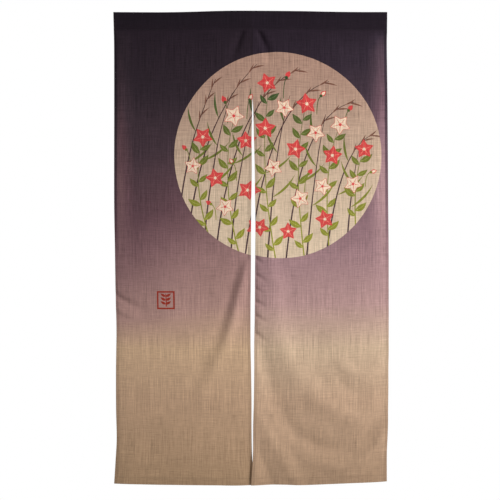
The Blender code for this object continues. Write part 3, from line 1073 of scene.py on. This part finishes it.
def stitching(side):
    """All the threads of one cloth: under the pocket, down both side hems and along the bottom hem."""
    width = CLOTH_WIDTH[side]
    inset = SIDE_HEM - SIDE_INSET
    hem_v = CLOTH_LENGTH + math.pi * HEM_TURN / 2 - BOTTOM_HEM + HEM_INSET
    runs = (
        ((0.0, 0.0), (width, 0.0)),
        ((inset, SLIT_DROP - HEADING_DROP), (inset, CLOTH_LENGTH)),
        ((width - inset, SIDE_GAP), (width - inset, CLOTH_LENGTH)),
        ((HEM_GAP, hem_v), (width - HEM_GAP, hem_v)),
    )
    points, faces = [], []
    for start, end in runs:
        base = sum(len(part) for part in points)
        rings, quads = stitch_run(side, start, end)
        points.append(rings)
        faces += [tuple(corner + base for corner in quad) for quad in quads]
    mesh = bpy.data.meshes.new(f"stitching_{NAMES[side]}")
    points = np.concatenate(points)
    mesh.from_pydata(points.tolist(), [], faces)
    mesh.shade_smooth()
    return placed(mesh)


# Materials

# The dye's shades down each cloth, in screen values
DYES = by_column(
    ("drop", LEFT, RIGHT),
    (0.000, (29, 23, 30), (31, 24, 32)),
    (0.060, (35, 26, 34), (37, 28, 37)),
    (0.270, (46, 36, 43), (48, 38, 48)),
    (0.420, (66, 51, 58), (69, 54, 63)),
    (0.570, (98, 71, 77), (95, 71, 80)),
    (0.660, (123, 92, 95), (128, 99, 106)),
    (0.770, (148, 115, 112), (153, 121, 124)),
    (0.920, (166, 132, 123), (172, 139, 135)),
    (1.060, (190, 159, 129), (194, 168, 142)),
    (1.220, (177, 146, 119), (180, 150, 125)),
    (1.486, (157, 129, 101), (160, 132, 107)),
)

# Towards its outer side the left cloth's dark dye runs lower and the right one's ends higher: by how
# much, between which places across the cloth, and from which drop to which
SHIFT_COLUMNS = ("by", "near", "far", "start", "full", "ebbs", "end")
SIDE_SHIFTS = {
    LEFT: dict(zip(SHIFT_COLUMNS, (-0.12, 0.113, 0.413, 0.36, 0.64, 0.85, 1.06))),
    RIGHT: dict(zip(SHIFT_COLUMNS, (0.11, 0.170, 0.300, 0.06, 0.12, 0.46, 0.70))),
}

# Painted highlight: how much paler the dark dye is painted along each outer edge, where the edge catches
# light, as a drop, between which distances from the hem it fades, and over what it starts on both sides of
# the hem's end
EDGE_HIGHLIGHT_SHIFT = {LEFT: 0.15, RIGHT: 0.18}
EDGE_REACH = (0.014, 0.058)
EDGE_BLUR = 0.0008

# The drops between which that painted highlight comes up below the heading, and between which it ebbs
EDGE_RISE = (HEADING_DROP + 0.003, HEADING_DROP + 0.022)
EDGE_EBBS = (0.56, 0.82)

# Painted shade: the share of its colour that each cloth keeps at its outer side; the left one is painted
# darker there, where less lamp light falls
SIDE_PAINTED_SHADE = {LEFT: 0.90, RIGHT: 1.0}

# The weave's noises: scale across and down the cloth, detail, how far they swing and their strength
WEAVE = {
    "warp": (560, 6.5, 1, 0.20, 0.170),
    "fine warp": (1150, 24, 1, 0.20, 0.170),
    "weft": (11, 430, 1, 0.20, 0.090),
    "fine weft": (45, 900, 1, 0.20, 0.110),
    "clouds": (14, 9, 3, 0.15, 0.025),
}

# How strongly the weave shows in the dark dye, and in the pale part below it, and the drops between
GRAIN = (1.25, 0.92)
GRAIN_DROPS = (0.25, 0.95)

# Painted shade: how much darker the hems are painted, the painted shadow at the pocket's stitches, and the
# painted shade in the pocket, where the doubled cloth lets less light through
HEM_PAINTED_SHADE = 0.14
STITCH_PAINTED_SHADOW = 0.30
POCKET_PAINTED_SHADE = 0.16

# The bottom hem's share of that painted shade, and how much darker the painted shadow along its end is
BOTTOM_SHARE = 0.4
HEM_LINE = 1.4

# Distances over which the shade changes: on both sides of a hem's end and of the pocket's, then along
# the hem's line and along the pocket's stitches
HEM_BLUR = 0.0006
POCKET_BLUR = 0.0010
HEM_LINE_REACH = (0.0010, 0.0026)
STITCH_REACH = (0.0008, 0.0024)

# How strong the thread's light and deep shades are against the dye
THREAD_SHADES = (0.92, 0.80)


def set_inputs(node, values):
    for name, value in values.items():
        node.inputs[name].default_value = value


class Nodes:
    """A material's node tree, with short calls for what the materials here need."""

    def __init__(self, name):
        self.material = bpy.data.materials.new(name)
        self.material.use_nodes = True
        self.tree = self.material.node_tree
        self.shader = self.tree.nodes["Principled BSDF"]

    def add(self, kind, **settings):
        node = self.tree.nodes.new(kind)
        for key, value in settings.items():
            setattr(node, key, value)
        return node

    def link(self, source, target):
        if isinstance(source, (int, float)):
            target.default_value = source
        else:
            self.tree.links.new(source, target)

    def math(self, operation, result, *others):
        """One operation on a value and each of the others in turn."""
        for other in others or (0.0,):
            node = self.add("ShaderNodeMath", operation=operation)
            self.link(result, node.inputs[0])
            self.link(other, node.inputs[1])
            result = node.outputs[0]
        return result

    def noise(self, places, scale, detail):
        """A noise over the flat cloth, with its own scale in each direction."""
        mapping = self.add("ShaderNodeMapping")
        set_inputs(mapping, {"Scale": scale})
        self.link(places, mapping.inputs["Vector"])
        node = self.add("ShaderNodeTexNoise")
        set_inputs(node, {"Scale": 1.0, "Detail": detail})
        self.link(mapping.outputs[0], node.inputs["Vector"])
        return node.outputs["Fac"]

    def between(self, value, low, high, to_low, to_high):
        node = self.add("ShaderNodeMapRange", clamp=True)
        self.link(value, node.inputs["Value"])
        set_inputs(node, {"From Min": low, "From Max": high, "To Min": to_low, "To Max": to_high})
        return node.outputs["Result"]

    def ramp(self, value, stops):
        node = self.add("ShaderNodeValToRGB")
        self.link(value, node.inputs["Fac"])
        elements = node.color_ramp.elements
        for place, colour in stops[1:-1]:
            elements.new(place).color = (*colour, 1)
        elements[0].color = (*stops[0][1], 1)
        elements[-1].color = (*stops[-1][1], 1)
        return node.outputs["Color"]

    def mix(self, factor, first, second, blend="MIX"):
        node = self.add("ShaderNodeMix", data_type="RGBA", blend_type=blend)
        self.link(factor, node.inputs[0])
        self.link(first, node.inputs[6])
        self.link(second, node.inputs[7])
        return node.outputs[2]


def weave(nodes, places):
    """How much lighter or darker the threads make the cloth, and how high they stand."""
    noises, shades = [], []
    for wide, tall, detail, swing, strength in WEAVE.values():
        noises.append(nodes.noise(places, (wide, tall, 1), detail))
        shades.append(nodes.between(noises[-1], 0.5 - swing, 0.5 + swing, -strength, strength))
    warp, fine_warp, weft, fine_weft = noises[:4]
    height = nodes.math("ADD", nodes.math("ADD", warp, fine_warp), nodes.math("ADD", weft, fine_weft))
    return nodes.math("ADD", *shades), height


def hem_shade(nodes, side, u, v):
    """Painted shade: the doubled cloth of the hems and the pocket is painted a little darker, where less
    light comes through, and each stitch line darker still as a painted shadow.
    """
    width = CLOTH_WIDTH[side]
    slit_v = SLIT_DROP - HEADING_DROP
    from_middle = nodes.math("ABSOLUTE", nodes.math("SUBTRACT", u, width / 2))
    to_edge = nodes.math("SUBTRACT", width / 2, from_middle)
    below_seam = nodes.between(v, slit_v - 0.01, slit_v, 0, 1)
    outer = nodes.between(u, width * 0.5, width * 0.5 + 0.001, 0, 1)
    side_hem = nodes.between(to_edge, SIDE_HEM - HEM_BLUR, SIDE_HEM + HEM_BLUR, 1.0, 0.0)
    side_hem = nodes.math("MULTIPLY", side_hem, nodes.math("MAXIMUM", below_seam, outer))
    bottom_hem = nodes.between(v, HEM_FOLD - HEM_BLUR, HEM_FOLD + HEM_BLUR, 0.0, 1.0)
    from_fold = nodes.math("ABSOLUTE", nodes.math("SUBTRACT", v, HEM_FOLD))
    hem_line = nodes.between(from_fold, *HEM_LINE_REACH, HEM_LINE, 0.0)
    bottom = nodes.math("MULTIPLY", nodes.math("MAXIMUM", bottom_hem, hem_line), BOTTOM_SHARE)
    hems = nodes.math("MULTIPLY", nodes.math("MAXIMUM", side_hem, bottom), HEM_PAINTED_SHADE)
    pocket = nodes.between(v, -POCKET_BLUR, POCKET_BLUR, POCKET_PAINTED_SHADE, 0.0)
    stitches = nodes.between(nodes.math("ABSOLUTE", v), *STITCH_REACH, STITCH_PAINTED_SHADOW, 0.0)
    return nodes.math("SUBTRACT", 1.0, nodes.math("MAXIMUM", hems, pocket, stitches))


def side_shift(nodes, side, u, drop):
    """How much higher or lower the dye's shades lie towards one cloth's outer side."""
    shift = SIDE_SHIFTS[side]
    reach = nodes.between(u, shift["near"], shift["far"], 0.0, shift["by"])
    rise = nodes.between(drop, shift["start"], shift["full"], 0.0, 1.0)
    fall = nodes.between(drop, shift["ebbs"], shift["end"], 1.0, 0.0)
    return nodes.math("MULTIPLY", rise, fall, reach)


def painted_edge_highlight(nodes, side, u, drop):
    """Painted highlight: below the heading the dark dye is painted paler along the outer edge, inside the
    hem, where the edge catches light.
    """
    to_hem = nodes.math("SUBTRACT", CLOTH_WIDTH[side] - SIDE_HEM, u)
    near = nodes.between(to_hem, *EDGE_REACH, EDGE_HIGHLIGHT_SHIFT[side], 0.0)
    inside = nodes.between(to_hem, -EDGE_BLUR, EDGE_BLUR, 0.0, 1.0)
    below = nodes.between(drop, HEADING_DROP, EDGE_RISE[0], 0.0, 1.0)
    rise = nodes.between(drop, *EDGE_RISE, 0.25, 1.0)
    fall = nodes.between(drop, *EDGE_EBBS, 1.0, 0.0)
    return nodes.math("MULTIPLY", near, inside, nodes.math("MULTIPLY", rise, fall, below))


def dye_stops(side, strength=1.0):
    """The dye's shades as stops of a ramp from the top of the cloth to its hem."""
    return [
        (drop / CURTAIN_DROP, srgb(*(value * strength for value in shade)))
        for drop, shade in zip(DYES["drop"], DYES[side])
    ]


def cloth_material(side):
    """Slub cloth: the dye's shades down the cloth, the print over them, and the threads in both, with
    painted shade and a painted highlight.
    """
    nodes = Nodes(f"slub_cloth_{NAMES[side]}")
    places = nodes.add("ShaderNodeAttribute", attribute_name="flat").outputs["Vector"]
    parts = nodes.add("ShaderNodeSeparateXYZ")
    nodes.link(places, parts.inputs[0])
    u, v = parts.outputs["X"], parts.outputs["Y"]
    drop = nodes.math("ADD", v, HEADING_DROP)
    # The dye's shift also carries the painted highlight along each outer edge
    shift = nodes.math("ADD", side_shift(nodes, side, u, drop), painted_edge_highlight(nodes, side, u, drop), drop)
    share = nodes.math("DIVIDE", shift, CURTAIN_DROP)
    ink = nodes.add("ShaderNodeAttribute", attribute_name="print")
    dyed = nodes.mix(ink.outputs["Alpha"], nodes.ramp(share, dye_stops(side)), ink.outputs["Color"])
    grain, height = weave(nodes, places)
    grain = nodes.math("MULTIPLY", grain, nodes.between(drop, *GRAIN_DROPS, *GRAIN))
    # Painted shade: the cloth darkens towards its outer side, where less lamp light falls
    painted_side_shade = nodes.between(u, 0.0, CLOTH_WIDTH[side], 1.0, SIDE_PAINTED_SHADE[side])
    grain = nodes.math("ADD", grain, 1.0)
    # The weave's grain, with the painted shade of the hems, the pocket, the stitch lines and the outer side
    shade = nodes.math("MULTIPLY", grain, hem_shade(nodes, side, u, v), painted_side_shade)
    shade_colour = nodes.add("ShaderNodeCombineColor")
    for name in ("Red", "Green", "Blue"):
        nodes.link(shade, shade_colour.inputs[name])
    colour = nodes.mix(1.0, dyed, shade_colour.outputs[0], "MULTIPLY")
    nodes.link(colour, nodes.shader.inputs["Base Color"])
    bump = nodes.add("ShaderNodeBump")
    set_inputs(bump, {"Strength": 0.35, "Distance": 0.0004})
    nodes.link(height, bump.inputs["Height"])
    nodes.link(bump.outputs["Normal"], nodes.shader.inputs["Normal"])
    set_inputs(nodes.shader, {"Roughness": 0.92, "Specular IOR Level": 0.1})
    return nodes.material


def thread_material():
    """Sewing thread that takes the dye's shade of the cloth it lies on."""
    nodes = Nodes("sewing_thread")
    place = nodes.add("ShaderNodeTexCoord").outputs["Object"]
    parts = nodes.add("ShaderNodeSeparateXYZ")
    nodes.link(place, parts.inputs[0])
    share = nodes.math("DIVIDE", parts.outputs["Z"], -CURTAIN_DROP)
    twist = nodes.add("ShaderNodeTexNoise")
    set_inputs(twist, {"Scale": 900})
    nodes.link(place, twist.inputs["Vector"])
    factor = nodes.between(twist.outputs["Fac"], 0.3, 0.7, 0.0, 1.0)
    light, deep = (nodes.ramp(share, dye_stops(LEFT, strength)) for strength in THREAD_SHADES)
    nodes.link(nodes.mix(factor, light, deep), nodes.shader.inputs["Base Color"])
    set_inputs(nodes.shader, {"Roughness": 0.7})
    return nodes.material


# Stage, light and camera

FRAME_WIDTH = 500 * 0.00313
CAMERA_DISTANCE = 4.5
SENSOR_WIDTH = 36
VIEW_MIDDLE = (-0.0013, -0.749)
FLOOR_LEVEL = -1.95
FLOOR_RADIUS = 2.2
FLOOR_SIDES = 96
SOFT_LIGHT = 0.225

# The lamps: place, the point that each faces, size and power
LAMPS = {
    "key": ((3.2, -3.0, 1.7), (0.1, 0, -0.85), 1.1, 262),
    "side": ((2.5, -0.35, -0.45), (0.4, 0, -0.5), 0.5, 10),
    "left_side": ((-2.5, -0.35, -0.3), (-0.4, 0, -0.3), 0.5, 8),
    "back": ((-2.2, 3.6, 1.0), (0, 0, -0.75), 1.8, 150),
}


def floor_material():
    nodes = Nodes("pale_floor")
    set_inputs(nodes.shader, {"Base Color": (0.8, 0.8, 0.8, 1), "Roughness": 0.9})
    return nodes.material


def add_stage():
    """A round pale floor, small enough to lie out of the front view."""
    turn = [math.tau * step / FLOOR_SIDES for step in range(FLOOR_SIDES)]
    corners = [(FLOOR_RADIUS * math.cos(a), FLOOR_RADIUS * math.sin(a), FLOOR_LEVEL) for a in turn]
    mesh = bpy.data.meshes.new("floor")
    mesh.from_pydata(corners, [], [tuple(range(FLOOR_SIDES))])
    mesh.materials.append(floor_material())
    floor = placed(mesh)


def add_lamp(name, place, aim, size, power):
    light = bpy.data.lights.new(name, "AREA")
    light.size = size
    light.energy = power
    lamp = placed(light)
    lamp.location = place
    lamp.rotation_euler = (Vector(aim) - Vector(place)).to_track_quat("-Z", "Y").to_euler()


def add_world():
    """Soft light from all round. The background itself shows white."""
    world = bpy.data.worlds.new("studio")
    world.use_nodes = True
    tree = world.node_tree
    soft = tree.nodes["Background"]
    set_inputs(soft, {"Color": (1, 1, 1, 1), "Strength": SOFT_LIGHT})
    white = tree.nodes.new("ShaderNodeBackground")
    set_inputs(white, {"Color": (1, 1, 1, 1)})
    seen = tree.nodes.new("ShaderNodeLightPath")
    choice = tree.nodes.new("ShaderNodeMixShader")
    tree.links.new(seen.outputs["Is Camera Ray"], choice.inputs[0])
    tree.links.new(soft.outputs[0], choice.inputs[1])
    tree.links.new(white.outputs[0], choice.inputs[2])
    tree.links.new(choice.outputs[0], tree.nodes["World Output"].inputs["Surface"])
    bpy.context.scene.world = world


def add_camera():
    camera = bpy.data.cameras.new("camera")
    camera.sensor_width = SENSOR_WIDTH
    camera.lens = SENSOR_WIDTH * CAMERA_DISTANCE / FRAME_WIDTH
    holder = placed(camera)
    holder.location = (VIEW_MIDDLE[0], -CAMERA_DISTANCE, VIEW_MIDDLE[1])
    holder.rotation_euler = (math.pi / 2, 0, 0)
    bpy.context.scene.camera = holder


def dress(side, thread):
    name = NAMES[side]
    cloth = hung_cloth(side)
    cloth.data.materials.append(cloth_material(side))
    threads = stitching(side)
    threads.data.materials.append(thread)
    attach(cloth, "root")
    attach(threads, "root")
    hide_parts(f"heading_{name}", f"cloth_{name}")


def main():
    add_camera()
    add_world()
    for name, (place, aim, size, power) in LAMPS.items():
        add_lamp(name, place, aim, size, power)
    add_stage()
    bpy.context.scene.view_settings.view_transform = "Standard"
    thread = thread_material()
    for side in (LEFT, RIGHT):
        dress(side, thread)


main()
